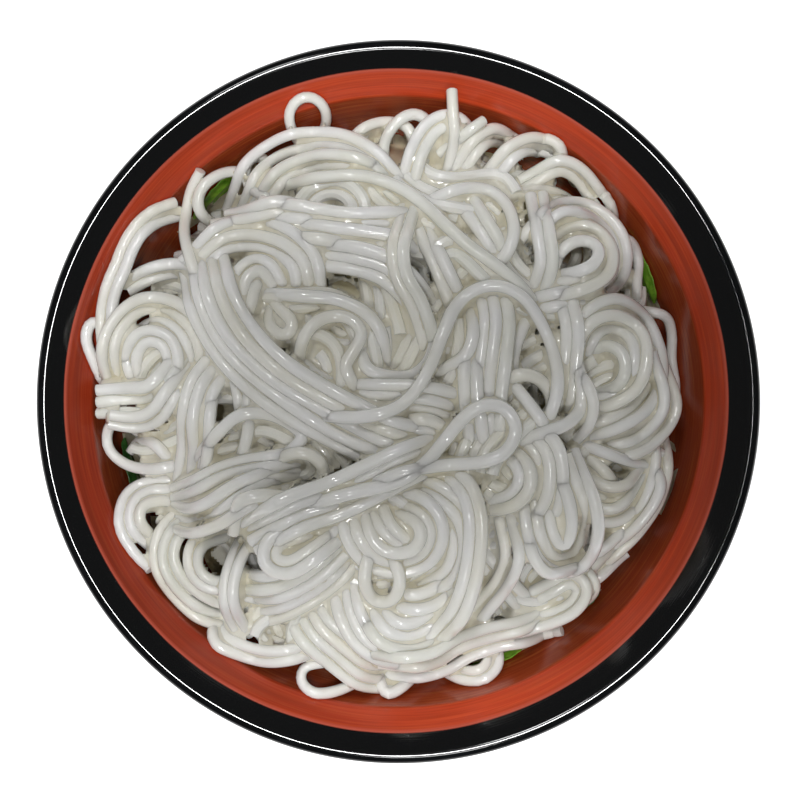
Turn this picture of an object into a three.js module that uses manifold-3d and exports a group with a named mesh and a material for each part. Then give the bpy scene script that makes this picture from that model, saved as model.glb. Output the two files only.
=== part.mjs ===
// A round-lipped stoneware noodle bowl, heaped with cooked rice noodles that lie on a few cut greens.
// Millimetres, +Z up. The origin is the centre of the foot ring's underside.
import * as THREE from "three";
import { mergeVertices } from "three/addons/utils/BufferGeometryUtils.js";
import Module from "manifold-3d";

// ---- Driving dimensions ----
const RIM_RADIUS = 105; // outside of the lip
const BOWL_HEIGHT = 82; // foot to the top of the lip
const LIP_ROUND = 2.3; // radius of the rounded lip, half the wall's thickness
const LIP_SLOPE = THREE.MathUtils.degToRad(38); // how steeply the flared lip falls inwards
const SHOULDER_RADIUS = 90.3; // inside radius where the flared lip turns down into the wall
const SHOULDER_ROUND = 1.2; // length of the rounding on each side of that turn
const FLOOR_RADIUS = 36; // flat floor inside
const FLOOR_HEIGHT = 9.5;
const FOOT_RADIUS = 44;
const FOOT_WIDTH = 5.5;
const FOOT_HEIGHT = 8;
const FOOT_RECESS = 3.6; // how far the underside is set up inside the foot ring
const FOOT_CHAMFER = 0.8;

const HEAP_TOP = 95; // the heap's highest level, before its lumps
const HEAP_EDGE = 0.89; // where the heap leaves the wall, as a share of the wall's curve
const EDGE_DIP = 0.09; // how much lower it leaves the wall beside each cut green, as a share
const HEAP_OFFSET = 2.2; // how far the heap leans from the middle, away from +X
const GAP = 0.5; // clearance between the heap and the bowl
const LEAF_GAP = 0.6; // clearance round each cut green

const TURNS = 60; // facets round the bowl and the heap
const CURVE_STEPS = 6; // straight steps in each curve of a profile
const DOME_STEPS = 16; // rings on the heap's top
const POINT_MERGE = 1e-4;

// ---- Materials ----
const glaze = new THREE.MeshStandardMaterial({ color: "#151716", roughness: 0.15, metalness: 0 });
const riceNoodle = new THREE.MeshStandardMaterial({ color: "#dcdcd2", roughness: 0.3, metalness: 0 });
const cutGreen = new THREE.MeshStandardMaterial({ color: "#4f7a2c", roughness: 0.4, metalness: 0 });

// ---- Profiles, as x = radius and y = height ----
const point = (radius, height) => new THREE.Vector2(radius, height);

// The lip is a round bead on a straight flare. Its inner and outer sides are parallel.
const bead = point(RIM_RADIUS - LIP_ROUND, BOWL_HEIGHT - LIP_ROUND);
const downLip = point(-Math.cos(LIP_SLOPE), -Math.sin(LIP_SLOPE));
const outOfLip = point(Math.sin(LIP_SLOPE), -Math.cos(LIP_SLOPE));
const lipInside = bead.clone().addScaledVector(outOfLip, -LIP_ROUND);
const lipOutside = bead.clone().addScaledVector(outOfLip, LIP_ROUND);

// The point on a side of the lip where it comes to a given radius.
function onLip(start, radius) {
  return start.clone().addScaledVector(downLip, (radius - start.x) / downLip.x);
}

const shoulder = onLip(lipInside, SHOULDER_RADIUS);
const elbow = onLip(lipOutside, SHOULDER_RADIUS + 2.2 * LIP_ROUND);

// The wall's curve, from the flat floor up to the shoulder, and the outside of the same wall.
const insideWall = new THREE.CubicBezierCurve(
  point(FLOOR_RADIUS, FLOOR_HEIGHT),
  point(FLOOR_RADIUS + 36, FLOOR_HEIGHT),
  point(SHOULDER_RADIUS - 8.5, shoulder.y - 22),
  shoulder,
);
const outsideWall = new THREE.CubicBezierCurve(
  point(FOOT_RADIUS - 1, FOOT_HEIGHT),
  point(FOOT_RADIUS + 33, FOOT_HEIGHT - 1),
  point(elbow.x - 8, elbow.y - 22),
  elbow,
);

// Adds a curve to a profile, without its first and last points where it is to be rounded off.
function curvePoints(curve, first = 0, last = 1) {
  const steps = CURVE_STEPS + 2;
  return Array.from({ length: steps + 1 }, (_, i) => curve.getPoint(first + ((last - first) * i) / steps));
}

// A rounded corner between two straight runs that meet at a point.
function corner(before, at, after, length) {
  const from = at.clone().add(before.clone().sub(at).setLength(length));
  const to = at.clone().add(after.clone().sub(at).setLength(length));
  return new THREE.QuadraticBezierCurve(from, at, to).getPoints(CURVE_STEPS / 2);
}

function bowlProfile() {
  const footInside = FOOT_RADIUS - FOOT_WIDTH;
  const startAngle = LIP_SLOPE - Math.PI / 2;
  const beadArc = new THREE.Path().absarc(bead.x, bead.y, LIP_ROUND, startAngle, startAngle + Math.PI);
  const nearEnd = 0.985; // the share of a wall's curve that is left when its corner is rounded
  return [
    point(0, FOOT_RECESS),
    point(footInside - 1, FOOT_RECESS),
    point(footInside, FOOT_RECESS - 1),
    point(footInside, FOOT_CHAMFER),
    point(footInside + FOOT_CHAMFER, 0),
    point(FOOT_RADIUS - FOOT_CHAMFER, 0),
    point(FOOT_RADIUS, FOOT_CHAMFER),
    ...curvePoints(outsideWall, 0, nearEnd),
    ...corner(outsideWall.getPoint(nearEnd), elbow, lipOutside, 2 * SHOULDER_ROUND).slice(1),
    ...beadArc.getPoints(CURVE_STEPS),
    ...corner(lipInside, shoulder, insideWall.getPoint(nearEnd), SHOULDER_ROUND),
    ...curvePoints(insideWall, 0, nearEnd - 0.015).reverse(),
    point(0, FLOOR_HEIGHT),
  ];
}

// Spins a profile round +Z into one closed mesh.
function spun(profile) {
  const geometry = new THREE.LatheGeometry(profile, TURNS).rotateX(Math.PI / 2);
  return welded(geometry);
}

function welded(geometry) {
  geometry.deleteAttribute("normal");
  geometry.deleteAttribute("uv");
  return mergeVertices(geometry, POINT_MERGE);
}

// ---- The heap of noodles ----
// A place on the heap by clock angle in degrees, from +X towards +Y, and distance from the middle.
function place(degrees, distance) {
  return point(distance, 0).rotateAround(point(0, 0), THREE.MathUtils.degToRad(degrees));
}

// The nests that the noodles are coiled in: a raised ring round a hollow.
const nests = [
  { at: place(170, 66), size: 19, high: 3.2 },
  { at: place(8, 60), size: 19, high: 3.4 },
  { at: place(222, 62), size: 20, high: 3.0 },
  { at: place(268, 50), size: 19, high: 3.2 },
  { at: place(322, 36), size: 17, high: 3.0 },
  { at: place(42, 64), size: 17, high: 2.6 },
  { at: place(125, 28), size: 15, high: 2.2 },
];

// The long ribbons of noodles that lie across the top.
const ribbons = [
  { from: place(148, 62), to: place(310, 20), wide: 9, high: 2.6 },
  { from: place(340, 42), to: place(219, 58), wide: 8, high: 2.4 },
  { from: place(118, 58), to: place(48, 52), wide: 8, high: 1.8 },
  { from: place(336, 62), to: place(306, 66), wide: 8, high: 2.0 },
];

function nestHeight(nest, at) {
  const out = at.distanceTo(nest.at) / nest.size;
  return nest.high * Math.sin(Math.PI * Math.min(out, 1)) - 0.5 * nest.high * Math.exp(-9 * out * out);
}

function ribbonHeight(ribbon, at) {
  const line = new THREE.Line3(
    new THREE.Vector3(ribbon.from.x, ribbon.from.y, 0),
    new THREE.Vector3(ribbon.to.x, ribbon.to.y, 0),
  );
  const nearest = line.closestPointToPoint(new THREE.Vector3(at.x, at.y, 0), true, new THREE.Vector3());
  const aside = Math.hypot(nearest.x - at.x, nearest.y - at.y) / ribbon.wide;
  return ribbon.high * Math.exp(-aside * aside);
}

function lumps(at) {
  const fromNests = nests.reduce((sum, nest) => sum + nestHeight(nest, at), 0);
  return ribbons.reduce((sum, ribbon) => sum + ribbonHeight(ribbon, at), fromNests);
}

// The wall's curve moved in by the clearance, for the side of the heap that lies in the bowl.
function insideWallPoint(share, clearance) {
  const along = insideWall.getTangent(share);
  return insideWall.getPoint(share).add(point(-along.y, along.x).multiplyScalar(clearance));
}

// Where the heap leaves the wall at an angle. It dips beside each green, which shows there.
function edgeShare(angle) {
  const apart = greens.map((green) => 1 - Math.cos(angle - THREE.MathUtils.degToRad(green.angle)));
  return HEAP_EDGE - EDGE_DIP * Math.exp(-18 * Math.min(...apart));
}

// How far the heap's top is drawn in from its edge at an angle, as a share of its radius.
function drawnIn(angle) {
  const loose = Math.cos(3 * angle + 0.6) + 0.8 * Math.cos(5 * angle - 1.1) + 0.6 * Math.cos(8 * angle + 2.0);
  return 0.01 * (loose + 2.4) + (HEAP_OFFSET / RIM_RADIUS) * (1 + Math.cos(angle));
}

// The heap's section at an angle: its floor, its side along the wall, and its plain dome.
function heapSection(angle) {
  const sideStep = edgeShare(angle) / CURVE_STEPS;
  const side = Array.from({ length: CURVE_STEPS + 1 }, (_, i) => insideWallPoint(sideStep * i, GAP));
  const edge = side.at(-1);
  const dome = Array.from({ length: DOME_STEPS }, (_, i) => {
    const climb = ((i + 1) / DOME_STEPS) * (Math.PI / 2);
    const inwards = 1 - drawnIn(angle) * Math.sin(Math.min(2 * climb, Math.PI / 2));
    return point(edge.x * Math.cos(climb) * inwards, edge.y + (HEAP_TOP - edge.y) * Math.sin(climb));
  });
  dome.at(-1).x = 0;
  return [point(0, FLOOR_HEIGHT + GAP), ...side, ...dome];
}

// The sections set round +Z, with the dome lifted into nests and ribbons.
function heapGeometry() {
  const geometry = new THREE.LatheGeometry(heapSection(0), TURNS);
  const positions = geometry.getAttribute("position");
  const rows = heapSection(0).length;
  for (let i = 0; i < positions.count; i++) {
    const angle = (Math.floor(i / rows) / TURNS) * 2 * Math.PI;
    const section = heapSection(angle);
    const onEdge = section[CURVE_STEPS + 1].y;
    const { x: radius, y: height } = section[i % rows];
    const onTop = THREE.MathUtils.smoothstep(height, onEdge, onEdge + 0.5 * (HEAP_TOP - onEdge));
    const spot = point(radius * Math.cos(angle), radius * Math.sin(angle));
    positions.setXYZ(i, spot.x, spot.y, height + onTop * lumps(spot));
  }
  return welded(geometry);
}

// ---- The cut greens under the noodles' edge ----
// Each lies along the wall: its clock angle, its height as a share of the wall's curve, its length, its
// width, and how far it slants up the wall over its length.
const greens = [
  { angle: 130, share: 0.815, length: 27, width: 8.5, slant: 1.5 },
  { angle: 29, share: 0.82, length: 26, width: 9, slant: -2 },
  { angle: 195, share: 0.8, length: 24, width: 9, slant: 1 },
  { angle: 212, share: 0.79, length: 15, width: 7, slant: -1 },
  { angle: 289, share: 0.81, length: 26, width: 8.5, slant: 1.5 },
  { angle: 311, share: 0.79, length: 18, width: 7, slant: -1.5 },
];
const LEAF_THICKNESS = 2.4;
const LEAF_STEPS = { round: 10, along: 8 };

// A flat oval, thicker in the middle, bent to the wall. The swelling is added on every side of it.
function greenGeometry(green, swelling = 0) {
  const oval = new THREE.SphereGeometry(1, LEAF_STEPS.round, LEAF_STEPS.along).rotateZ(Math.PI / 2);
  const geometry = welded(oval);
  const positions = geometry.getAttribute("position");
  const base = insideWall.getPoint(green.share);
  const upWall = insideWall.getTangent(green.share);
  const offWall = point(-upWall.y, upWall.x);
  const half = { length: green.length / 2, width: green.width / 2, thickness: LEAF_THICKNESS / 2 };
  for (let i = 0; i < positions.count; i++) {
    const along = positions.getX(i) * (half.length + swelling);
    const up = positions.getY(i) * (half.width + swelling) + (green.slant * along) / half.length;
    const off = positions.getZ(i) * (half.thickness + swelling) + half.thickness + LEAF_GAP;
    const spot = base.clone().addScaledVector(upWall, up).addScaledVector(offWall, off);
    const angle = THREE.MathUtils.degToRad(green.angle) - along / base.x;
    positions.setXYZ(i, spot.x * Math.cos(angle), spot.x * Math.sin(angle), spot.y);
  }
  return geometry;
}

// ---- Cutting the greens' room out of the heap ----
const wasm = await Module();
wasm.setup();

function solid(geometry) {
  const mesh = new wasm.Mesh({
    numProp: 3,
    vertProperties: new Float32Array(geometry.getAttribute("position").array),
    triVerts: new Uint32Array(geometry.index.array),
  });
  return new wasm.Manifold(mesh);
}

function geometryOf(manifold) {
  const mesh = manifold.getMesh();
  return new THREE.BufferGeometry()
    .setAttribute("position", new THREE.BufferAttribute(mesh.vertProperties, 3))
    .setIndex(new THREE.BufferAttribute(mesh.triVerts, 1));
}

function heapOverGreens() {
  const rooms = greens.map((green) => solid(greenGeometry(green, LEAF_GAP)));
  return geometryOf(rooms.reduce((heap, room) => heap.subtract(room), solid(heapGeometry())));
}

// ---- The part ----
function named(name, geometry, material) {
  const mesh = new THREE.Mesh(geometry, material);
  mesh.name = name;
  return mesh;
}

const part = new THREE.Group();
part.add(named("bowl", spun(bowlProfile()), glaze));
part.add(named("noodles", heapOverGreens(), riceNoodle));
greens.forEach((green, i) => part.add(named(`green_${i + 1}`, greenGeometry(green), cutGreen)));

export default part;
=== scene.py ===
# %% [markdown]
# A bowl of cooked rice noodles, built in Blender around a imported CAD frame.
# The real thing is a wide serving bowl, black on its lip and outside and brushed
# with red inside, heaped with soft white rice noodles. Cut greens peep out from
# under the edge of the heap. Everything below is in metres, with Z up, in the same
# frame as the CAD model, so each piece goes where the CAD says.

import math

import bmesh
import bpy
import numpy as np
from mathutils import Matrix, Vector
from mathutils.bvhtree import BVHTree


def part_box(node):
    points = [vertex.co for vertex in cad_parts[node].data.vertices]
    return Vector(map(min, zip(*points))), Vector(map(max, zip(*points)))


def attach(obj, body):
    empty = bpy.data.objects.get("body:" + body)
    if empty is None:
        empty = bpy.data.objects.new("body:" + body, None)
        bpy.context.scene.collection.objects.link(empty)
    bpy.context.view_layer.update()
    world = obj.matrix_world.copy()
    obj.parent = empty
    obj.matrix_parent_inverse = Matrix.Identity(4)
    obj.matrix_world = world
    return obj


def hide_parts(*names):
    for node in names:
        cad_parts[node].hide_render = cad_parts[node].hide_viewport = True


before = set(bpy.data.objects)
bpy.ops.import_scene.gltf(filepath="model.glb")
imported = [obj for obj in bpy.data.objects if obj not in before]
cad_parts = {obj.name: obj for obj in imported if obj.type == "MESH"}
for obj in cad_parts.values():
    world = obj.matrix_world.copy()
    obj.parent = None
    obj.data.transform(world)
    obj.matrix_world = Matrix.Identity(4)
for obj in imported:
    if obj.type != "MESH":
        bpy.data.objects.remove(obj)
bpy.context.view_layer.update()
cad_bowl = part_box("bowl")
MM = 0.001

# %% [markdown]
# The camera comes first. It looks straight down from about half a metre, as a cook
# does over a table, with the lip nearly filling the frame. The eye's height matters
# later: the noodles' routes are laid out as they look on the plane of the lip, and
# are carried down to the heap along the lines of sight.

# %% Camera
LIP_HEIGHT = cad_bowl[1].z / MM          # mm, the plane that the routes are drawn on
LIP_TO_EYE = 420.0                       # mm
LIP_SHARE = 0.909                        # of the frame's width that the bowl takes up
EYE_HEIGHT = LIP_HEIGHT + LIP_TO_EYE
BOWL_WIDTH = (cad_bowl[1].x - cad_bowl[0].x) / MM
FRAMING = (0.002, 0.002)                 # share of the frame, to seat the bowl in it

lens = bpy.data.cameras.new("camera_lens")
lens.sensor_width = 36.0
lens.lens = lens.sensor_width * LIP_TO_EYE * LIP_SHARE / BOWL_WIDTH
lens.shift_x, lens.shift_y = FRAMING
camera = bpy.data.objects.new("camera", lens)
camera.location = (0, 0, EYE_HEIGHT * MM)
bpy.context.scene.collection.objects.link(camera)
bpy.context.scene.camera = camera
bpy.context.scene.view_settings.view_transform = "Standard"
print("lens in mm:", round(lens.lens, 1), "eye height in mm:", EYE_HEIGHT)

# %% [markdown]
# Three small helpers are used all through: one turns a colour from its sRGB hex
# value into the linear numbers that shaders need, one starts a material, and one
# adds a node of any kind to it, with its settings and its links.

# %% Helpers for materials
def colour(hex_value, alpha=1.0):
    """The linear colour of an sRGB hex value such as "c8452c"."""
    parts = [int(hex_value[i:i + 2], 16) / 255 for i in (0, 2, 4)]
    return (*[p / 12.92 if p <= 0.04045 else ((p + 0.055) / 1.055) ** 2.4
              for p in parts], alpha)


def start_material(name, hex_value, roughness, ior=1.5, **sockets):
    """A Principled material with its even values set on the shader's own sockets."""
    made = bpy.data.materials.new(name)
    made.use_nodes = True
    shader = made.node_tree.nodes["Principled BSDF"]
    made.diffuse_color = colour(hex_value)
    shader.inputs["Base Color"].default_value = colour(hex_value)
    shader.inputs["Roughness"].default_value = roughness
    shader.inputs["IOR"].default_value = ior
    for socket, value in sockets.items():
        shader.inputs[socket.replace("_", " ")].default_value = value
    return made, shader


def add(material, kind, values=(), links=(), feeds=(), stops=(), **settings):
    """Adds a node and returns it.

    values is {input: number}, links is {input: another node's output}, feeds is
    {input of the shader: this node's output}, and stops lists a colour ramp's
    (place, hex colour).
    """
    node = material.node_tree.nodes.new(kind)
    for key, value in settings.items():
        setattr(node, key, value)
    for key, value in dict(values).items():
        node.inputs[key].default_value = value
    for key, socket in dict(links).items():
        material.node_tree.links.new(socket, node.inputs[key])
    while stops and len(node.color_ramp.elements) < len(stops):
        node.color_ramp.elements.new(0.5)
    for k, (place, hex_value) in enumerate(stops):
        element = node.color_ramp.elements[k]
        element.position, element.color = place, colour(hex_value)
    shader = material.node_tree.nodes["Principled BSDF"]
    for key, output in dict(feeds).items():
        material.node_tree.links.new(node.outputs[output], shader.inputs[key])
    return node


RAMP = "ShaderNodeValToRGB"


# %% [markdown]
# Pieces are made at the origin with their place in their mesh. This helper gives a
# finished bmesh an object, a smooth skin with crisp creases, and hides the CAD parts
# that it replaces.

# %% Helper for pieces
CREASE = math.radians(42)


def finish_piece(name, mesh, materials, replaced=()):
    """An object for mesh that rides on the root body."""
    mesh.name = name
    mesh.shade_smooth()
    mesh.set_sharp_from_angle(angle=CREASE)
    for material in materials:
        if material.name not in mesh.materials:
            mesh.materials.append(material)
    piece = bpy.data.objects.new(name, mesh)
    bpy.context.scene.collection.objects.link(piece)
    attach(piece, "root")
    if replaced:
        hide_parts(*replaced)
    mesh.calc_loop_triangles()
    print(name, "has", len(mesh.loop_triangles), "triangles")
    return piece


def mesh_from(work):
    """Turns a bmesh into a mesh, with doubles merged and faces pointing outwards."""
    bmesh.ops.remove_doubles(work, verts=work.verts, dist=0.0004 * MM)
    bmesh.ops.recalc_face_normals(work, faces=work.faces)
    mesh = bpy.data.meshes.new("piece")
    work.to_mesh(mesh)
    work.free()
    return mesh


# %% [markdown]
# The bowl is turned: one closed line, from the middle of the foot, up the outside,
# over the rolled lip and down the inside, is spun round the axis. The line is
# repeated from the CAD with many more points, so that the lip's thin highlight
# stays smooth. The lip flares at a steady slope down to a shoulder, and the steep
# wall begins there.

# %% Bowl: the line that is spun
RIM_RADIUS, BOWL_HEIGHT = 105.0, 82.0    # mm
LIP_ROUND = 2.3                          # mm, radius of the bead on the lip
LIP_SLOPE = math.radians(38)
SHOULDER_RADIUS = 90.3                   # mm
FLOOR_RADIUS, FLOOR_HEIGHT = 36.0, 9.5   # mm, of the flat floor inside
SPIN_STEPS = 288


def curve_of(points, steps):
    """Points on the Bezier curve with the four handles given."""
    a, b, c, d = [Vector(p) for p in points]
    for k in range(steps + 1):
        t = k / steps
        yield (a * (1 - t) ** 3 + b * 3 * t * (1 - t) ** 2
               + c * 3 * t ** 2 * (1 - t) + d * t ** 3)


bead = Vector((RIM_RADIUS - LIP_ROUND, BOWL_HEIGHT - LIP_ROUND))
out_of_lip = Vector((math.sin(LIP_SLOPE), -math.cos(LIP_SLOPE)))
down_lip = Vector((-math.cos(LIP_SLOPE), -math.sin(LIP_SLOPE)))
lip_inside = bead - out_of_lip * LIP_ROUND
lip_outside = bead + out_of_lip * LIP_ROUND
shoulder = lip_inside + down_lip * ((lip_inside.x - SHOULDER_RADIUS) / -down_lip.x)
elbow_radius = SHOULDER_RADIUS + 2.2 * LIP_ROUND
elbow = lip_outside + down_lip * ((lip_outside.x - elbow_radius) / -down_lip.x)

foot = [(0, 3.6), (20, 3.6), (37.5, 3.6), (38.5, 2.6), (38.5, 0.8), (39.3, 0),
        (43.2, 0), (44, 0.8), (44, 7.2), (43, 8)]
outer_wall = curve_of([(43, 8), (77, 7), (elbow.x - 8, elbow.y - 22), elbow], 40)
outer_lip = [elbow.lerp(lip_outside, k / 8) for k in range(1, 8)]
start_turn = math.atan2(out_of_lip.y, out_of_lip.x)
bead_arc = [bead + LIP_ROUND * Vector((math.cos(start_turn + math.pi * k / 28),
                                       math.sin(start_turn + math.pi * k / 28)))
            for k in range(29)]
inner_lip = [lip_inside.lerp(shoulder, k / 24) for k in range(1, 24)]
inner_wall = curve_of([shoulder, (81.8, shoulder.y - 22), (72, 9.5),
                       (FLOOR_RADIUS, FLOOR_HEIGHT)], 72)
bowl_line = [*[Vector(p) for p in foot], *list(outer_wall)[1:], *outer_lip, *bead_arc,
             *inner_lip, *inner_wall, Vector((18, FLOOR_HEIGHT)),
             Vector((0, FLOOR_HEIGHT))]
print("bowl line has", len(bowl_line), "points")

# %% Bowl: spin it
work = bmesh.new()
ring = [work.verts.new((p.x * MM, 0, p.y * MM)) for p in bowl_line]
edges = [work.edges.new(pair) for pair in zip(ring, ring[1:])]
bmesh.ops.spin(work, geom=ring + edges, cent=(0, 0, 0), axis=(0, 0, 1),
               angle=2 * math.pi, steps=SPIN_STEPS, use_merge=True)
bowl_mesh = mesh_from(work)
# The red is brushed over the faces that look into the bowl, inside the lip's crest.
for face in bowl_mesh.polygons:
    reach = math.hypot(face.center.x, face.center.y) / MM
    looks_in = face.center.z / MM > FLOOR_HEIGHT - 0.5 and face.normal.z > 0.05
    on_floor_or_wall = reach < FLOOR_RADIUS + 1 or face.normal.z < 0.98
    face.material_index = int(not (looks_in and reach < bead.x and on_floor_or_wall))

# %% [markdown]
# The bowl's finish is a glossy fired glaze. The lip and outside are black, close to
# mirror-smooth, so they are nearly all reflection. The inside is red put on with a
# wide brush while the bowl turned on a wheel, so its streaks run round it. Polar
# coordinates give that: the noise is stretched along the turn and fine across it.
# Below the shoulder the red is browner and a little darker.

# %% Bowl: glazes
BLACK, BLACK_WORN = "08090a", "101214"
STREAK = 0.7                             # mm, width of one brush hair's line
BRUSH = 3.2                              # mm, width of a brush stroke's banding
RED_EDGE = 96.75                         # mm, where the red stops on the lip
RED_CENTRE = (-0.5, 0.2)                 # mm, the brushed ring isn't quite centred
# heading of the painted shade on the wall's red, towards the lower left
PAINTED_SHADE_AT = (math.cos(math.radians(207)), math.sin(math.radians(207)), 0)


def black_glaze():
    made, _ = start_material("glazed_black_lip", BLACK, 0.08, 1.50,
                             Specular_IOR_Level=0.32)
    place = add(made, "ShaderNodeTexCoord").outputs["Object"]
    mottle = add(made, "ShaderNodeTexNoise", {"Scale": 1 / (9 * MM), "Detail": 4},
                 {"Vector": place})
    add(made, RAMP, links={0: mottle.outputs["Fac"]}, feeds={"Base Color": "Color"},
        stops=[(0.35, BLACK), (0.7, BLACK_WORN)])
    ripple = add(made, "ShaderNodeTexNoise", {"Scale": 1 / (4 * MM), "Detail": 2},
                 {"Vector": place})
    add(made, "ShaderNodeBump", {"Strength": 0.05, "Distance": 0.3 * MM},
        {"Height": ripple.outputs["Fac"]}, {"Normal": "Normal"})
    return made


def red_glaze():
    made, _ = start_material("glazed_brushed_red", "b8402a", 0.24, 1.52,
                             Specular_IOR_Level=0.5, Coat_Weight=0.25,
                             Coat_Roughness=0.12)
    place = add(made, "ShaderNodeTexCoord").outputs["Object"]
    centred = add(made, "ShaderNodeMapping", {"Location": (-RED_CENTRE[0] * MM,
                                                           -RED_CENTRE[1] * MM, 0)},
                  {"Vector": place}).outputs["Vector"]
    parts = add(made, "ShaderNodeSeparateXYZ", links={0: centred}).outputs
    flat = add(made, "ShaderNodeCombineXYZ", links={0: parts["X"], 1: parts["Y"]})
    reach = add(made, "ShaderNodeVectorMath", links={0: flat.outputs[0]},
                operation="LENGTH").outputs["Value"]
    heading = add(made, "ShaderNodeVectorMath", links={0: flat.outputs[0]},
                  operation="NORMALIZE").outputs["Vector"]
    along = add(made, "ShaderNodeSeparateXYZ", links={0: heading}).outputs
    # The way down the wall, near enough: reach and height both count.
    down = add(made, "ShaderNodeMath", links={0: reach, 1: parts["Z"]},
               operation="ADD").outputs[0]

    def streaks(width_mm, round_share, detail):
        across = add(made, "ShaderNodeMath", {1: 1 / (width_mm * MM)}, {0: down},
                     operation="MULTIPLY").outputs[0]
        turn_x = add(made, "ShaderNodeMath", {1: round_share}, {0: along["X"]},
                     operation="MULTIPLY").outputs[0]
        turn_y = add(made, "ShaderNodeMath", {1: round_share}, {0: along["Y"]},
                     operation="MULTIPLY").outputs[0]
        polar = add(made, "ShaderNodeCombineXYZ",
                    links={0: turn_x, 1: turn_y, 2: across}).outputs[0]
        return add(made, "ShaderNodeTexNoise", {"Scale": 1.0, "Detail": detail},
                   {"Vector": polar}).outputs["Fac"]

    fine, broad = streaks(STREAK, 3.0, 3.0), streaks(BRUSH, 1.4, 2.0)
    lip_red, wall_red = (
        add(made, RAMP, links={0: fine}, stops=reds).outputs["Color"]
        for reds in ([(0.25, "b4391a"), (0.5, "cb4420"), (0.75, "db5528")],
                          [(0.25, "94391b"), (0.5, "ad4822"), (0.75, "c2602f")]))
    # Below the shoulder the red is browner and a little darker.
    below = add(made, "ShaderNodeMapRange", {"From Min": (shoulder.y - 0.9) * MM,
                                             "From Max": (shoulder.y + 0.3) * MM},
                {"Value": parts["Z"]}).outputs[0]
    red = add(made, "ShaderNodeMix", links={"Factor": below, 6: wall_red, 7: lip_red},
              data_type="RGBA").outputs[2]
    worn = add(made, "ShaderNodeMapRange", {"From Min": 0.35, "From Max": 0.75,
                                            "To Min": 0.0, "To Max": 0.6},
               {"Value": broad}).outputs[0]
    banding_and_painted_light = add(made, "ShaderNodeMix", {7: colour("9a3a1e")},
                 {"Factor": worn, 6: red}, data_type="RGBA").outputs[2]
    # Painted light and shade: the red is made lighter in front and behind, where the
    # light falls on the wall, and darker towards the lower left, where little light
    # reaches it.
    front_back_light_share = add(made, "ShaderNodeMath", {1: 2.0}, {0: along["Y"]}, operation="POWER")
    painted_front_back_light = add(made, "ShaderNodeMapRange", {"To Min": 0.78, "To Max": 1.0},
                 {"Value": front_back_light_share.outputs[0]}).outputs[0]
    toward_painted_shade = add(made, "ShaderNodeVectorMath", {1: PAINTED_SHADE_AT}, {0: heading},
                 operation="DOT_PRODUCT").outputs["Value"]
    painted_side_shade = add(made, "ShaderNodeMapRange",
               {"From Min": 0.2, "To Min": 1.0, "To Max": 0.62},
               {"Value": toward_painted_shade}).outputs[0]
    laid = add(made, "ShaderNodeMath", links={0: painted_front_back_light, 1: painted_side_shade},
               operation="MULTIPLY").outputs[0]
    # The red is scaled by the painted light and shade.
    banding_and_painted_light = add(made, "ShaderNodeVectorMath", links={0: banding_and_painted_light, "Scale": laid},
                 operation="SCALE").outputs["Vector"]
    # A thin pinker line borders the black: a painted highlight along the edge of the
    # red.
    wobble = add(made, "ShaderNodeTexNoise", {"Scale": 2.2, "Detail": 2},
                 {"Vector": heading}).outputs["Fac"]
    wander = add(made, "ShaderNodeMath", {1: 0.5 * MM, 2: (RED_EDGE - 0.25) * MM},
                 {0: wobble}, operation="MULTIPLY_ADD").outputs[0]
    past = add(made, "ShaderNodeMath", links={0: reach, 1: wander},
               operation="SUBTRACT").outputs[0]
    painted_edge_highlight = add(made, "ShaderNodeMapRange", {"From Min": -0.9 * MM,
                                             "From Max": -0.1 * MM},
                {"Value": past}).outputs[0]
    red_with_painted_highlight = add(made, "ShaderNodeMix", {7: colour("c65a45")},
                {"Factor": painted_edge_highlight, 6: banding_and_painted_light}, data_type="RGBA").outputs[2]
    black = add(made, "ShaderNodeMapRange", {"From Min": -0.05 * MM,
                                             "From Max": 0.25 * MM},
                {"Value": past}).outputs[0]
    add(made, "ShaderNodeMix", {7: colour(BLACK)}, {"Factor": black, 6: red_with_painted_highlight},
        {"Base Color": 2}, data_type="RGBA")
    add(made, "ShaderNodeMapRange", {"To Min": 0.26, "To Max": 0.09},
        {"Value": black}, {"Roughness": 0})
    add(made, "ShaderNodeBump", {"Strength": 0.25, "Distance": 0.06 * MM},
        {"Height": fine}, {"Normal": "Normal"})
    return made


finish_piece("bowl_shell", bowl_mesh, [red_glaze(), black_glaze()],
             ["bowl"])

# %% [markdown]
# Slivers of cut greens lie on the wall under the edge of the heap. Each is a thin
# leaf blade with a pleat along its midrib and a slightly wavy edge. A grid is
# shaped in the blade's own flat frame, which comes from its CAD node, and is then
# laid on the wall by casting rays at it.

# %% Greens
def tree_of(mesh):
    """Something to cast rays at, for a mesh in the row frame."""
    mesh.calc_loop_triangles()
    return BVHTree.FromPolygons([v.co for v in mesh.vertices],
                                [t.vertices for t in mesh.loop_triangles])


LEAF_THICK = 0.55                        # mm
LEAF_LIFT = 0.35                         # mm, how clear of the wall it lies
PLEAT = 0.9                              # mm, height of the fold along the midrib
wall_tree = tree_of(bowl_mesh)


def frame_of(node):
    """The middle of a CAD blade and its long, wide and thick directions."""
    points = np.array([v.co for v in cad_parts[node].data.vertices])
    middle = (points.max(0) + points.min(0)) / 2
    _, _, axes = np.linalg.svd(points - points.mean(0), full_matrices=False)
    if axes[2][2] < 0:
        axes[2] = -axes[2]
    sizes = [np.ptp((points - middle) @ axis) for axis in axes]
    return Vector(middle), [Vector(axis) for axis in axes], sizes


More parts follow.
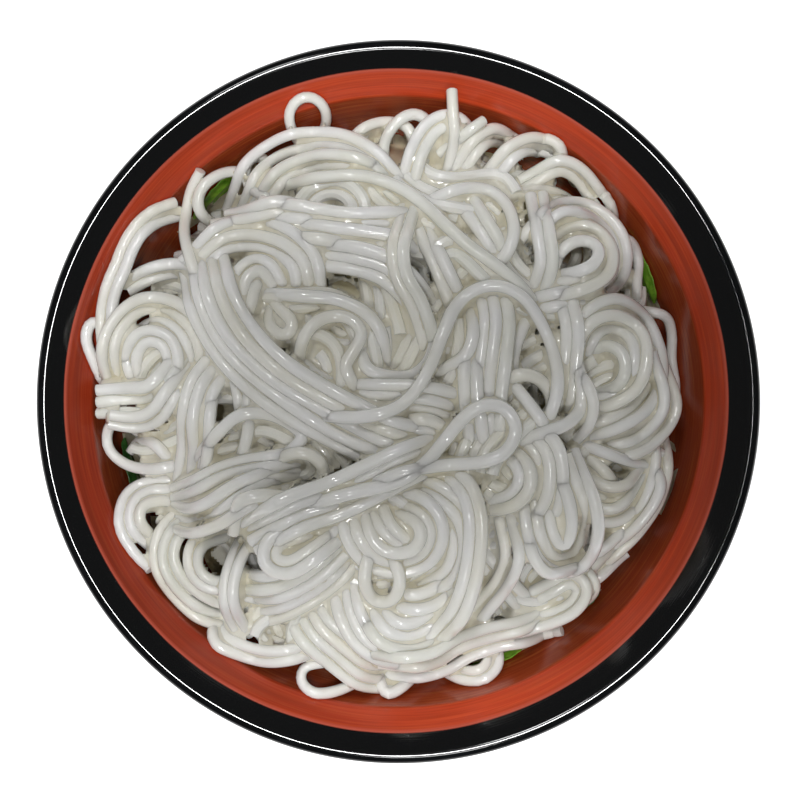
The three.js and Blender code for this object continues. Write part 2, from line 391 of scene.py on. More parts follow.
def leaf_green(name, hex_value, rib_hex):
    made, shader = start_material(name, hex_value, 0.32, 1.45, Coat_Weight=0.25,
                                  Coat_Roughness=0.2, Subsurface_Weight=0.15,
                                  Subsurface_Scale=0.8 * MM)
    shader.inputs["Subsurface Radius"].default_value = (0.4, 1.0, 0.2)
    place = add(made, "ShaderNodeTexCoord").outputs["Object"]
    veins = add(made, "ShaderNodeTexNoise", {"Scale": 1 / (1.6 * MM), "Detail": 3},
                {"Vector": place}).outputs["Fac"]
    add(made, RAMP, links={0: veins}, feeds={"Base Color": "Color"},
        stops=[(0.3, hex_value), (0.75, rib_hex)])
    add(made, "ShaderNodeBump", {"Strength": 0.4, "Distance": 0.15 * MM},
        {"Height": veins}, {"Normal": "Normal"})
    return made


def lay_leaf(node, greenery, seed):
    middle, (along, across, up), (length, width, _) = frame_of(node)
    work = bmesh.new()
    bmesh.ops.create_grid(work, x_segments=30, y_segments=8, size=0.5)
    for vert in work.verts:
        u, v = vert.co.x * 2, vert.co.y * 2            # -1 to 1 each way
        taper = (1 - abs(u) ** 2.6) ** 0.5 * (0.86 + 0.1 * math.sin(3 * u + seed))
        wave = 0.35 * MM * math.sin(9 * u + seed * 1.7) * v * v
        flat = (middle + along * u * length * 0.46 + across * v * width * 0.42 * taper)
        found = wall_tree.ray_cast(flat + up * 20 * MM, -up)
        rise = (LEAF_LIFT + PLEAT * (1 - abs(v)) ** 2) * MM + abs(wave)
        vert.co = found[0] + up * rise
    for face in work.faces:
        face.normal_update()
    bmesh.ops.recalc_face_normals(work, faces=work.faces)
    if sum((face.normal.dot(up) for face in work.faces)) < 0:
        bmesh.ops.reverse_faces(work, faces=work.faces)
    mesh = bpy.data.meshes.new("leaf")
    work.to_mesh(mesh)
    work.free()
    piece = finish_piece(f"{node}_leaf", mesh, [greenery], [node])
    plump = piece.modifiers.new("thickness", "SOLIDIFY")
    plump.thickness, plump.offset = LEAF_THICK * MM, 1.0
    soften = piece.modifiers.new("softness", "SUBSURF")
    soften.levels = soften.render_levels = 1
    return piece


fresh = leaf_green("cut_leaf_fresh_green", "5f9a1f", "93bf45")
deep = leaf_green("cut_leaf_dark_green", "1f4a1e", "3c6e2c")
leaves = [lay_leaf(f"green_{k}", fresh if k in (1, 2, 5) else deep, k)
          for k in range(1, 7)]

# %% [markdown]
# The heap could be made with a physics simulation of long noodles. That wasn't tried
# here: it is slow, and says little about where each loop ends up. Instead noodles
# are laid one after another on a height map of what is there already. Each noodle
# rests on whatever is below it, bends no more tightly than a soft strand can, and
# is stamped into the map for the next one.

# %% Noodles: the height map
NOODLE = 3.65                            # mm, a cooked noodle's diameter
HALF = NOODLE / 2
REACH = 102.0                            # mm, half the width of the map
CELLS = 341
STEP = 1.2                               # mm between the points of a noodle
STICK = 0.4                              # mm that soft noodles press into each other
SEED = 7

axis = np.linspace(-REACH, REACH, CELLS)
CELL = axis[1] - axis[0]


def height_map(*trees):
    """Heights in mm, seen from above, of whatever the trees hold."""
    heights = np.full((CELLS, CELLS), -1.0)
    straight_down = Vector((0, 0, -1))
    for i, x in enumerate(axis):
        for j, y in enumerate(axis):
            if x * x + y * y < REACH * REACH:
                for tree in trees:
                    hit = tree.ray_cast(Vector((x * MM, y * MM, 1.0)), straight_down)
                    if hit[0]:
                        heights[i, j] = max(heights[i, j], hit[0].z / MM)
    return heights


leaf_trees = []
for leaf in leaves:
    grown = leaf.evaluated_get(bpy.context.evaluated_depsgraph_get()).to_mesh()
    leaf_trees.append(tree_of(grown))
wall = height_map(wall_tree, *leaf_trees)
heap = height_map(tree_of(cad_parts["noodles"].data))
goal = np.maximum(heap, wall)
print("heap top in mm:", round(float(heap.max()), 1))

# %% [markdown]
# These small tools lay one noodle. Blurring the map, reading the height that a
# round noodle rests at, and stamping it in are all done on whole arrays at once.

# %% Noodles: laying one
near = int(math.ceil(HALF / CELL))
spots = [(i, j) for i in range(-near, near + 1) for j in range(-near, near + 1)
         if math.hypot(i, j) * CELL < HALF]
spot_i, spot_j = (np.array(s) for s in zip(*spots))
spot_rise = np.sqrt(HALF ** 2 - (spot_i ** 2 + spot_j ** 2) * CELL ** 2)


def cells_of(points):
    """The map cells that points lie in."""
    return np.clip(np.rint((points + REACH) / CELL).astype(int), near + 1,
                   CELLS - near - 2)


def read(heights, points):
    i, j = cells_of(points).T
    return heights[i, j]


def resting(heights, points):
    """How high a noodle's middle lies when it rests on the map at each point."""
    i, j = cells_of(points).T
    return (heights[i[:, None] + spot_i, j[:, None] + spot_j] + spot_rise).max(1)


def blur(heights, reach_mm):
    """The map averaged over a square, twice, so that it comes out smooth."""
    n = int(reach_mm / CELL)
    for way in (0, 1, 0, 1):
        pad = [(n + 1, n) if a == way else (0, 0) for a in (0, 1)]
        total = np.cumsum(np.pad(heights, pad, mode="edge"), axis=way)
        ends = np.arange(CELLS)
        heights = (np.take(total, ends + 2 * n + 1, way)
                   - np.take(total, ends, way)) / (2 * n + 1)
    return heights


BEND = 9.0                               # mm, a soft noodle's tightest sag over an edge


def drape(heights, points):
    """The height of a noodle's middle along points, lying on the map."""
    low = resting(heights, points) - STICK
    high = low.copy()
    for k in range(1, int(12 / STEP)):
        drop = (k * STEP) ** 2 / (2 * BEND)
        high[k:] = np.maximum(high[k:], low[:-k] - drop)
        high[:-k] = np.maximum(high[:-k], low[k:] - drop)
    for _ in range(8):
        high[1:-1] = (high[:-2] + 2 * high[1:-1] + high[2:]) / 4
        high = np.maximum(high, low)
    high[1:-1] = (high[:-2] + 2 * high[1:-1] + high[2:]) / 4
    return high


def stamp(heights, points, middles):
    """Adds a noodle to the map."""
    fine = np.linspace(0, len(points) - 1, 3 * len(points) - 2)
    count = np.arange(len(points))
    x, y = (np.interp(fine, count, points[:, k]) for k in (0, 1))
    z = np.interp(fine, count, middles)
    i, j = cells_of(np.c_[x, y]).T
    for a in range(-near, near + 1):
        for b in range(-near, near + 1):
            off = (axis[i + a] - x) ** 2 + (axis[j + b] - y) ** 2
            hit = off < HALF ** 2
            np.maximum.at(heights, (i[hit] + a, j[hit] + b),
                          z[hit] + np.sqrt(HALF ** 2 - off[hit]))


def even(points, step=STEP):
    """The same route with its points a step apart."""
    gone = np.r_[0, np.cumsum(np.hypot(*np.diff(points, axis=0).T))]
    t = np.linspace(0, gone[-1], max(4, int(round(gone[-1] / step))) + 1)
    return np.c_[np.interp(t, gone, points[:, 0]), np.interp(t, gone, points[:, 1])]


def smooth_route(corners):
    """A smooth curve through a few corners, which doesn't overshoot between them."""
    c = np.array(corners, float)
    c = np.vstack([2 * c[0] - c[1], c, 2 * c[-1] - c[-2]])
    made = []
    for a, b, d, e in zip(c, c[1:], c[2:], c[3:]):
        knots = np.cumsum([0, *[max(math.dist(p, q), 1e-6) ** 0.5
                                for p, q in ((a, b), (b, d), (d, e))]])
        t = np.linspace(knots[1], knots[2], 24, endpoint=False)[:, None]

        def mix(p, q, start, end):
            return ((knots[end] - t) * p + (t - knots[start]) * q) / (
                knots[end] - knots[start])

        first, second, third = mix(a, b, 0, 1), mix(b, d, 1, 2), mix(d, e, 2, 3)
        made.append(mix(mix(first, second, 0, 2), mix(second, third, 1, 3), 1, 2))
    return even(np.vstack([*made, c[-2]]))


def beside(points, aside):
    """The route moved sideways, by one distance or by one for each point."""
    along = np.gradient(points, axis=0)
    left = np.c_[-along[:, 1], along[:, 0]]
    left /= np.maximum(np.linalg.norm(left, axis=1, keepdims=True), 1e-9)
    return points + left * np.broadcast_to(aside, len(points))[:, None]


def softened(values, rounds):
    """Values along a route with each averaged with its neighbours, over and over."""
    for _ in range(rounds):
        values = np.concatenate([values[:1], (values[:-2] + 2 * values[1:-1]
                                              + values[2:]) / 4, values[-1:]])
    return values


def under_sight(heights, drawn):
    """Carries a route drawn on the lip's plane down the lines of sight to the map.

    Each round carries it to the height that a noodle would lie at where it is now.
    """
    lies = softened(read(soft_goal, drawn), 6)
    for _ in range(SIGHT_ROUNDS):
        carried = drawn * ((EYE_HEIGHT - lies) / LIP_TO_EYE)[:, None]
        lies = softened((lies + drape(heights, carried)) / 2, 8)
    return softened(drawn * ((EYE_HEIGHT - lies) / LIP_TO_EYE)[:, None], 2)


SIGHT_ROUNDS = 3                         # each takes up half of the gap in height
soft_goal = blur(goal, 2.5)


# %% [markdown]
# The noodles on top are the ones that are seen, so each is laid along its own
# route: its name, how many lie side by side, and a few points that it passes
# through. They are listed from the lowest to the topmost, as a cook would drop
# them. A free end is one that shows; any other end dives in among its neighbours.

# %% Noodles: the routes on top
# (how many side by side, free ends, points in mm on the plane of the lip)
FREE, HIDDEN = True, False
ROUTES = {
    "ring upper left": (1, HIDDEN, [(-28, 74), (-30.8, 78.5), (-31.6, 83),
        (-29.3, 86.8), (-25, 87.8), (-21.4, 85), (-20.8, 81), (-23.2, 77.6),
        (-26, 74.5)]),
    "left hairpin": (1, HIDDEN, [(-81, -1), (-85, 5), (-88, 12), (-90, 18),
        (-88.5, 23), (-85.5, 22.5), (-84.8, 16), (-83, 9), (-79, 2)]),
    "left outer edge": (2, HIDDEN, [(-64, 56), (-71, 53), (-76.5, 47), (-80, 39),
        (-83, 32), (-84, 24), (-83, 14), (-80, 5)]),
    "right hairpin": (1, HIDDEN, [(68, 27), (73, 26), (77.5, 24.5), (79, 20),
        (79, 13), (80, 6), (80.5, 1), (78, -5), (72, -11)]),
    "upper right hairpin": (1, HIDDEN, [(60, 46), (64, 47.3), (67.5, 46),
        (69.5, 41), (69, 34), (70, 28)]),
    "bottom ring": (1, HIDDEN, [(-13, -74), (-21, -75.5), (-27.5, -77), (-28, -81),
        (-24, -84), (-18, -83.5), (-11, -80.5), (-4, -76)]),
    "green ring outer": (1, HIDDEN, [(24, -67), (28.5, -71), (29, -76), (25, -80),
        (19, -80.5), (13, -78), (8, -75)]),
    "green ring inner": (1, HIDDEN, [(22, -70), (26, -73), (25, -76.5), (20, -78),
        (15, -76)]),
    "bottom tip": (1, HIDDEN, [(-6, -74), (-5.5, -80), (-3.5, -84.5), (1, -82.5),
        (6, -79), (13, -78)]),
    "lower left hooks": (3, HIDDEN, [(-60, -27), (-69, -25.5), (-76, -28),
        (-77.5, -35), (-74, -41), (-69, -46)]),
    "left loop": (1, HIDDEN, [(-70, -5), (-79, -4), (-84, -8), (-83.5, -14),
        (-78, -18.5), (-71, -19.5), (-62, -18)]),
    "left loop inside": (1, HIDDEN, [(-79, -15), (-76, -11.5), (-71, -12),
        (-67, -17)]),
    "bottom left edge": (2, HIDDEN, [(-52, -62), (-52, -68), (-46, -71), (-39, -73),
        (-31, -72.5), (-24, -71)]),
    "upper edge arcs 1": (1, HIDDEN, [(-16, 74), (-10, 79), (-3, 81), (3, 79),
        (5, 73)]),
    "upper edge arcs 2": (1, HIDDEN, [(-4, 67), (-4, 75), (0, 81), (5, 83), (9, 80),
        (8, 73)]),
    "upper edge arcs 3": (2, HIDDEN, [(3, 65), (5, 72), (9, 79), (14, 81.5),
        (19, 79.5), (22, 75)]),
    "upper edge arcs 4": (2, HIDDEN, [(18, 69), (23, 75), (28, 77.5), (33, 75.5),
        (37, 72)]),
    "upper edge arcs 5": (2, HIDDEN, [(27, 66), (33, 72), (40, 74.5), (45, 73),
        (47, 69)]),
    "upper right edge": (2, HIDDEN, [(40, 66), (47, 68.5), (52, 66), (56, 61),
        (59.5, 56), (61, 50)]),
    "loose end up": (1, FREE, [(15.4, 89.5), (15.7, 83), (16.3, 77), (15, 70)]),
    "loose end short": (1, FREE, [(24.5, 81), (20.5, 78.3), (16, 75.5)]),
    "right edge low": (2, HIDDEN, [(76, -8), (76.5, -14), (75.5, -21), (73, -28),
        (68, -36), (61, -43), (55, -48)]),
    "right low outside": (1, HIDDEN, [(74, -18), (76, -23), (74, -29), (69, -36),
        (64, -41)]),
    "lower right edge": (2, HIDDEN, [(66, -43), (61, -46.5), (56, -50), (49, -54),
        (43, -58)]),
    "lower right loop 2": (1, HIDDEN, [(49, -47), (54, -48.5), (57, -53),
        (54.5, -58), (48, -61)]),
    "lower right loop": (2, HIDDEN, [(38, -58), (44, -54), (50, -51), (53, -54),
        (50.5, -59), (44, -62.5), (35, -65), (26, -66.5)]),
    "left nest outer": (3, HIDDEN, [(-80, 3), (-82, 11), (-80, 20), (-73, 26.5),
        (-64, 25), (-58, 18), (-57, 9)]),
    "left nest inner": (2, HIDDEN, [(-77, 5), (-77.5, 13), (-73.5, 19), (-67, 17.5),
        (-65, 10), (-68, 5)]),
    "left nest over": (2, HIDDEN, [(-80, 34), (-72, 37), (-62, 38), (-55, 33),
        (-53, 25)]),
    "left level ends": (3, FREE, [(-86.5, 0), (-79, 0.5), (-71, 1), (-66, 6),
        (-63, 12)]),
    "left level ends low": (2, FREE, [(-83, -5), (-76, -6), (-70, -4), (-66, 2),
        (-62, 9)]),
    "upper left end": (1, FREE, [(-57, 66.5), (-60.5, 60), (-62, 51), (-60, 41),
        (-56, 30)]),
    "upper left loop": (1, HIDDEN, [(-50, 50), (-57, 54), (-57.5, 60), (-52, 65.5),
        (-45, 66.5), (-41, 61), (-46, 57), (-53, 55.5)]),
    "upper left small loop": (1, HIDDEN, [(-36, 60), (-37.5, 67), (-39.5, 71),
        (-44, 68.5), (-43, 62), (-37, 59)]),
    "back band outer": (2, HIDDEN, [(-47, 60), (-42, 68), (-34, 73.5), (-25, 75.5),
        (-15, 74.5), (-7, 70.5), (0, 64)]),
    "back band inner": (2, HIDDEN, [(-40, 58), (-33, 66), (-24, 69.5), (-14, 69),
        (-5, 66)]),
    "upper left arcs": (3, HIDDEN, [(-58, 42), (-50, 47.5), (-42, 48.5), (-33, 46),
        (-27, 40), (-26, 32)]),
    "upper left fan": (2, HIDDEN, [(-50, 54), (-42, 55), (-34, 56.5), (-27, 54),
        (-20, 51)]),
    "back sweep low": (2, HIDDEN, [(-36, 56), (-26, 54.5), (-14, 53), (-4, 53),
        (5, 53)]),
    "back sweep mid": (2, HIDDEN, [(-30, 49.5), (-20, 48.5), (-10, 47.5), (-1, 46),
        (6, 42)]),
    "back shelf": (3, HIDDEN, [(-21, 43), (-12, 41.5), (-4, 39), (2, 34), (7, 27)]),
    "back fall": (2, HIDDEN, [(2, 52), (0, 44), (1, 36), (5, 29), (8, 21),
        (10, 12)]),
    "back fall 2": (2, HIDDEN, [(9, 47), (12, 40), (15, 33), (18, 26)]),
    "upper right slope": (2, HIDDEN, [(20, 58), (24, 52), (28, 46), (30, 40)]),
    "curl": (1, HIDDEN, [(8, 58), (14, 60.3), (21, 61.8), (27.5, 60.5), (32, 55.5),
        (33.3, 49), (31.5, 43), (27, 39)]),
    "upper right nest 3": (2, HIDDEN, [(38, 28), (47, 30), (56, 31.5), (63, 36.5),
        (64, 44), (61, 51), (54, 56), (46, 56), (40, 50)]),
    "upper right nest 2": (2, HIDDEN, [(42, 34), (44, 42), (49, 48.5), (56, 49),
        (60, 44), (59.5, 38), (53, 34), (44, 32)]),
    "upper right nest 1": (1, HIDDEN, [(46, 37), (52, 37.5), (57, 40.5),
        (57.5, 44.5), (53, 46.5), (48, 44.5), (45, 40)]),
    "upper right fall": (2, HIDDEN, [(41, 56), (42, 48), (43, 40), (41, 32)]),
    "right nest 4": (2, HIDDEN, [(49, 8), (51, 18), (56, 26), (63, 28.5), (70, 24),
        (73.5, 16), (74, 7), (70, -1), (62, -6), (53, -8.5)]),
    "right nest 3": (2, HIDDEN, [(53, 13), (56, 20.5), (62, 23), (68, 19.5),
        (69.5, 12), (67.5, 5), (61, 0.5), (54, -1)]),
    "right nest 2": (1, HIDDEN, [(56, 14), (60, 16.5), (64.5, 14), (65.5, 9),
        (63.5, 4.5), (58.5, 2.5)]),
    "right outer arcs": (2, HIDDEN, [(76, 10), (78, 3), (78, -3), (74, -9),
        (68, -13), (60, -14)]),
    "right fan 1": (1, HIDDEN, [(52, -11.5), (59, -14.5), (66, -17), (74, -19)]),
    "right fan 2": (1, HIDDEN, [(54, -15), (59.5, -20), (64, -25), (71, -28.5)]),
    "right fan 3": (2, HIDDEN, [(52, -22), (60, -26), (67, -25), (72, -20)]),
    "right fan 4": (2, HIDDEN, [(53, -30), (60, -33), (66, -31), (70, -26)]),
    "right verticals": (2, HIDDEN, [(49, 30), (50.5, 20), (50, 10), (49, 0),
        (47, -7)]),
    "right inner arch": (1, HIDDEN, [(38, 25), (35, 19), (33, 12), (32.5, 4),
        (29, -3)]),
    "right small arch": (1, HIDDEN, [(28, 3.5), (33, 7.3), (38.5, 7.5), (43, 4),
        (44.5, -2), (42, -8)]),
    "right slant": (1, HIDDEN, [(32.5, 6.5), (36.5, 1), (41, -5), (45, -12)]),
    "right long arc": (1, HIDDEN, [(36, -11.5), (42, -9), (48, -6.8), (52.5, -2.5),
        (53, 4), (52, 12)]),
    "nest crossing": (1, HIDDEN, [(52, 9.5), (55, 4), (56.3, -2), (54.5, -7.5),
        (50.5, -12.5)]),
    "deep arcs outer": (3, HIDDEN, [(39, -9), (43, -14), (44, -22), (42, -30),
        (36, -36), (27, -39)]),
    "deep arcs inner": (2, HIDDEN, [(33, -15), (36.5, -19.5), (35.5, -25.5),
        (31, -29), (24, -30)]),
    "right u outer": (3, HIDDEN, [(50, -20), (53, -30), (53.5, -38), (50.5, -45),
        (45, -45), (41, -39), (40, -31)]),
    "right u inner": (1, HIDDEN, [(37.5, -38), (39, -45), (43, -49.5), (50, -49)]),
    "low right slants": (2, HIDDEN, [(22, -40), (26, -46), (31, -52), (36, -58),
        (41, -62)]),
    "low right verticals": (2, HIDDEN, [(32, -38), (33, -45), (30, -53), (24, -60),
        (21, -66)]),
    "bottom diagonal": (4, HIDDEN, [(-28, -60), (-24, -66), (-17, -72), (-9, -78),
        (0, -80)]),
    "bottom bowl arcs": (3, HIDDEN, [(-15, -52), (-14, -60), (-10, -68),
        (-3, -72.5), (6, -72.5), (13, -67.5), (16, -60), (18, -52)]),
    "bottom bowl arcs inner": (3, HIDDEN, [(-8, -60), (-4, -66), (3, -68),
        (10, -65), (14, -59), (15, -52)]),
    "bottom shelf": (2, HIDDEN, [(-4, -56), (4, -58), (11, -56), (16, -51),
        (18, -45)]),
    "bottom run": (3, HIDDEN, [(-6, -77), (2, -77), (11, -75.5), (19, -71),
        (28, -68), (38, -66), (46, -63)]),
    "lower left ramp low": (3, HIDDEN, [(-45, -62), (-36, -60), (-27, -56),
        (-19, -50), (-13, -43)]),
    "lower left ramp": (3, HIDDEN, [(-46, -54), (-36, -53.5), (-27, -49.5),
        (-19, -43), (-13, -35), (-11, -29)]),
    "lower left hook": (2, HIDDEN, [(-17, -38), (-25, -44), (-32, -48), (-37, -46),
        (-36.5, -41), (-31, -38), (-22, -36)]),
    "lower left nest": (4, HIDDEN, [(-58, -34), (-64, -38), (-66, -45), (-62, -53),
        (-55, -59), (-47, -62)]),
    "lower left nest in": (2, HIDDEN, [(-50, -38), (-58, -41), (-59, -48),
        (-54, -53), (-48, -53)]),
    "lower left fall": (2, HIDDEN, [(-43, -38), (-47, -46), (-49, -54), (-48, -62),
        (-45, -69)]),
    "bottom nest u": (4, HIDDEN, [(2, -26.5), (10, -29.5), (16, -35), (17.5, -43),
        (15, -50), (10, -54)]),
    "bottom nest ring": (3, HIDDEN, [(-13, -30), (-11.5, -38), (-7, -44.5),
        (0, -46.5), (7, -44), (9.5, -37.5), (6.5, -32), (0, -30)]),
    "bottom nest across": (2, HIDDEN, [(-6.5, -31), (-3, -37), (2, -41.5)]),
    "bottom nest drop": (1, HIDDEN, [(-8.5, -44), (-9.8, -52), (-7, -57.5),
        (-2, -57.5), (0.5, -52), (-1.5, -46)]),
    "left verticals": (3, HIDDEN, [(-52, 12), (-57, 4), (-59, -5), (-59, -14),
        (-61, -24)]),
    "left verticals 2": (1, HIDDEN, [(-54, 3), (-54.5, -6), (-55, -14),
        (-57, -22)]),
    "left slant": (1, HIDDEN, [(-53, 18), (-48.5, 9.5), (-46.3, 1), (-45.5, -8)]),
    "left drop": (1, HIDDEN, [(-42.5, 9), (-43.5, 0), (-43.5, -9), (-46.5, -19)]),
    "left arch": (1, HIDDEN, [(-57, -14), (-52, -9), (-46, -4), (-38, -3.5),
        (-31, -6.5), (-27.5, -10), (-32, -15), (-38, -19)]),
    "left slab": (3, HIDDEN, [(-30, -18), (-40, -19.5), (-50, -22), (-58, -26),
        (-67, -29.5)]),
    "left slab low": (3, HIDDEN, [(-34, -22), (-45, -27), (-54, -33), (-62, -35),
        (-69, -32)]),
    "small hook": (1, HIDDEN, [(-36, -17), (-29, -14.8), (-23.5, -16.5),
        (-21.5, -21), (-24, -26), (-31, -27.5), (-40, -27), (-46, -29),
        (-47.5, -34)]),
    "bent stack": (3, HIDDEN, [(-37, 33), (-40, 38), (-44, 36), (-45.5, 29),
        (-49, 22)]),
    "arch run": (1, HIDDEN, [(-37, 31.5), (-28, 30.5), (-18, 29.5), (-10, 26),
        (-5, 20), (-4, 13)]),
    "inner coil": (1, HIDDEN, [(-29, 9), (-28, 17), (-23, 23.5), (-15, 24.5),
        (-10.5, 20), (-13, 14.5), (-15.5, 10), (-13, 4.5), (-16, 1)]),
    "middle u": (1, HIDDEN, [(-11, 14), (-9, 9.5), (-3, 7.3), (4, 7.5), (9, 12),
        (11, 19)]),
    "tiny ring": (1, HIDDEN, [(-37, 30), (-34, 26.5), (-30.5, 23), (-31.5, 19.5),
        (-35, 19.5), (-37.5, 23), (-37, 28)]),
    "middle strands low": (3, HIDDEN, [(-14, 2.5), (-5, 2), (3, 1.5), (10, 0.5),
        (18, -2)]),
    "middle small arcs": (2, HIDDEN, [(-2, -7), (4, -6.5), (10, -7), (14, -11)]),
    "middle falls": (3, HIDDEN, [(27, 33), (28.5, 24), (27.5, 13), (26.5, 2),
        (27, -11)]),
    "middle fall left": (1, HIDDEN, [(21, 27), (21.7, 20), (19.5, 13.5),
        (13, 9.5)]),
    "middle slot": (2, HIDDEN, [(21, 14), (21, 5), (22, -5), (23, -13)]),
    "plumb run": (2, HIDDEN, [(14, -20), (19.5, -24.5), (22, -32), (22, -41),
        (20.5, -51), (17, -61), (12, -68)]),
    "long sweep": (1, HIDDEN, [(-33, 63), (-22, 64.8), (-9, 65), (1, 61.5),
        (8, 56.5), (14, 50.5), (21, 44.5), (28, 39.5), (35, 33.5), (41, 27)]),
    "wide ribbon": (5, HIDDEN, [(-57, 40), (-53, 27), (-47, 17), (-38, 8), (-28, 1),
        (-16, -6), (-4, -11.5), (6, -14)]),
    "low ribbon": (4, HIDDEN, [(-40, -37), (-30, -31.5), (-19, -27.5), (-8, -22.5),
        (3, -17.5), (11, -15)]),
    "wandering noodle": (1, HIDDEN, [(-22, -4), (-11, -4.5), (0, -1.5), (6, 4.5),
        (10, 12), (13, 20), (16.5, 27.5), (22, 32.3), (29, 33.5), (35.5, 30.5),
        (40.5, 24), (44.5, 15), (46, 5), (44, -5)]),
    "big loop": (1, HIDDEN, [(-26, -30), (-14, -26.5), (0, -23), (8, -17.5),
        (14, -10.5), (19, -4.5), (25, -1), (31, -2.2), (34, -8), (31, -14.5),
        (24, -17.5), (14, -18.3), (3, -20), (-10, -25)]),
}

# %% [markdown]
# A noodle in a bundle isn't quite parallel to the one next to it, so each strays a
# little from its route. Its hidden ends dip below the surface and end inside the
# heap, and its free ends stay up.

# %% Noodles: laying a whole route
draw = np.random.default_rng(SEED)
DIP, DIP_LENGTH = 8.0, 14.0              # mm, how deep a hidden end goes, and over what
SPACING = 0.9                            # noodle widths between neighbours in a bundle
STRAY = 0.42                             # mm, how far a bundled noodle wanders
EXTEND_EDGE = 76.0                       # mm from the middle, no end is carried past it


def extended(points, ends):
    """The route carried on for a little at its hidden ends, but not out of the heap."""
    made = points
    for end, hidden in zip((0, -1), ends):
        if hidden:
            inner = made[3] if end == 0 else made[-4]
            way = (made[end] - inner) / max(math.dist(made[end], inner), 1e-6)
            more = made[end] + way * STEP * np.arange(1, 5)[:, None]
            if np.hypot(*more[-1]) < EXTEND_EDGE:
                made = np.vstack([more[::-1], made] if end == 0 else [made, more])
    return made


def dipped(heights, points, middles, ends):
    """Lowers the middles towards the hidden ends, down to the wall at the most."""
    gone = np.arange(len(points)) * STEP
    left = gone[-1] - gone
    floor = resting(wall, points)
    for run, hidden in zip((gone, left), ends):
        if hidden:
            near_end = np.clip(1 - run / DIP_LENGTH, 0, 1)
            middles = middles - DIP * near_end ** 2 * (3 - 2 * near_end)
    return np.maximum(middles, floor)


def strands_of(count, corners):
    """The side-by-side routes of a bundle, each with its own small wander."""
    line = smooth_route(corners)
    for k in range(count):
        aside = (k - (count - 1) / 2) * NOODLE * SPACING
        if count > 1:
            knots = max(3, len(line) // 14)
            wander = np.interp(np.linspace(0, knots - 1, len(line)), range(knots),
                               draw.normal(0, STRAY, knots))
            aside = aside + softened(wander, 12)
        yield even(beside(line, aside))


def lay_routes(heights):
    """Lays every route on the map, and returns the noodles as (points, middles)."""
    laid = []
    for count, free, corners in ROUTES.values():
        for line in strands_of(count, corners):
            ends = (not free, True)
            points = even(under_sight(heights, extended(line, ends)))
            middles = dipped(heights, points, drape(heights, points), ends)
            stamp(heights, points, middles)
            laid.append((points, middles))
    return laid


# %% [markdown]
# The routes cross each other several deep, and the top of the heap should come out
# near the CAD solid's. So they are laid a few times on trial, and the bed that they
# lie on is lowered each time by however much they stood too high. That brings them
# to 1.5 mm above the CAD's surface on average, but single ones still stand 10 mm
# above it in the middle and 22 mm near the edge, close to the wall.

# %% Noodles: the bed that the routes lie on
TRIALS = 4
FIRST_BED = 10.0                         # mm below the heap's top, to start with
EXCESS_REACH = 6.0                       # mm that an excess in height is averaged over
SPARE = 0.6                              # mm more that the bed is lowered each time
UNTOUCHED = 0.4                          # mm, less than any noodle adds to the map
bed = np.maximum(heap - FIRST_BED, wall)
covered = heap > wall
for trial in range(TRIALS):
    draw = np.random.default_rng(SEED)
    laid_on = bed
    heights = bed.copy()
    lay_routes(heights)
    excess = blur(np.where(covered, heights - goal, 0.0), EXCESS_REACH)
    share = np.maximum(blur(covered.astype(float), EXCESS_REACH), 0.2)
    bed = np.maximum(bed - excess / share - SPARE, wall)
    shown = blur((heights < laid_on + UNTOUCHED).astype(float), 1.2) > 0.25
    print("trial", trial, "stands too high by up to",
          round(float((heights - goal)[covered].max()), 1), "mm, on average",
          round(float((heights - goal)[covered].mean()), 1))

# %% [markdown]
# Under the routes lie the rest of the noodles, which show in the gaps. They run
# in bundles that wind round a few nests, as noodles do when they are lifted and
# dropped in by the portion. Each bundle is the best of several tries: the one that
# covers the most bare core, less a little if it stands above the bed.

# %% Noodles: the fill below the routes
# (x, y, size in mm, which way round)
NESTS = [(-72, 12, 15, 1), (59, 11, 15, -1), (-56, -46, 14, -1), (0, -40, 14, 1),
         (28, -22, 14, -1), (52, 42, 13, 1), (-16, 16, 13, 1), (-50, 55, 12, -1),
         (10, 70, 10, 1), (45, -50, 10, 1), (-20, 50, 12, 1), (8, -62, 10, -1)]
FILL_DEPTH = 5.0                         # mm from the bed down to the core
FILL_ROOM = 2.5                          # mm that crossings in the fill stand above it
GAP_DEPTH = 13.0                         # mm, the deepest that a gap shows the bed
EDGE_START, EDGE_DROP = 72.0, 14.0       # mm, where the core falls away, and how far
FILL_LENGTH = 14000.0                    # mm of noodle at the most
TRIES, PATIENCE = 20, 16                 # routes per try, and tries that find no use
TURN = 6.5                               # mm, the tightest bend of a filling noodle
NEST_REACH = 1.25                        # a nest's sizes that its pull reaches
STIR = 0.35                              # share of the winding that slow waves stir
FILL_EDGE = 81.0                         # mm, as far out as the fill goes
CROWDING = 0.12                          # what a try loses for each mm it is too high
BARE = 0.3                               # mm, the core is bare where less lies on it
# (mm that a noodle runs each way, share of it that must cover bare core)
FILL_ROUNDS = [(80, 0.6), (50, 0.45), (28, 0.35), (18, 0.25)]


def spread(values, reach_mm, pick):
    """The highest or lowest of the map's values within reach of each cell."""
    n = int(reach_mm / CELL)
    made = values.copy()
    for i in range(-n, n + 1):
        for j in range(-n, n + 1):
            if math.hypot(i, j) * CELL <= reach_mm:
                made = pick(made, np.roll(values, (i, j), (0, 1)))
    return made


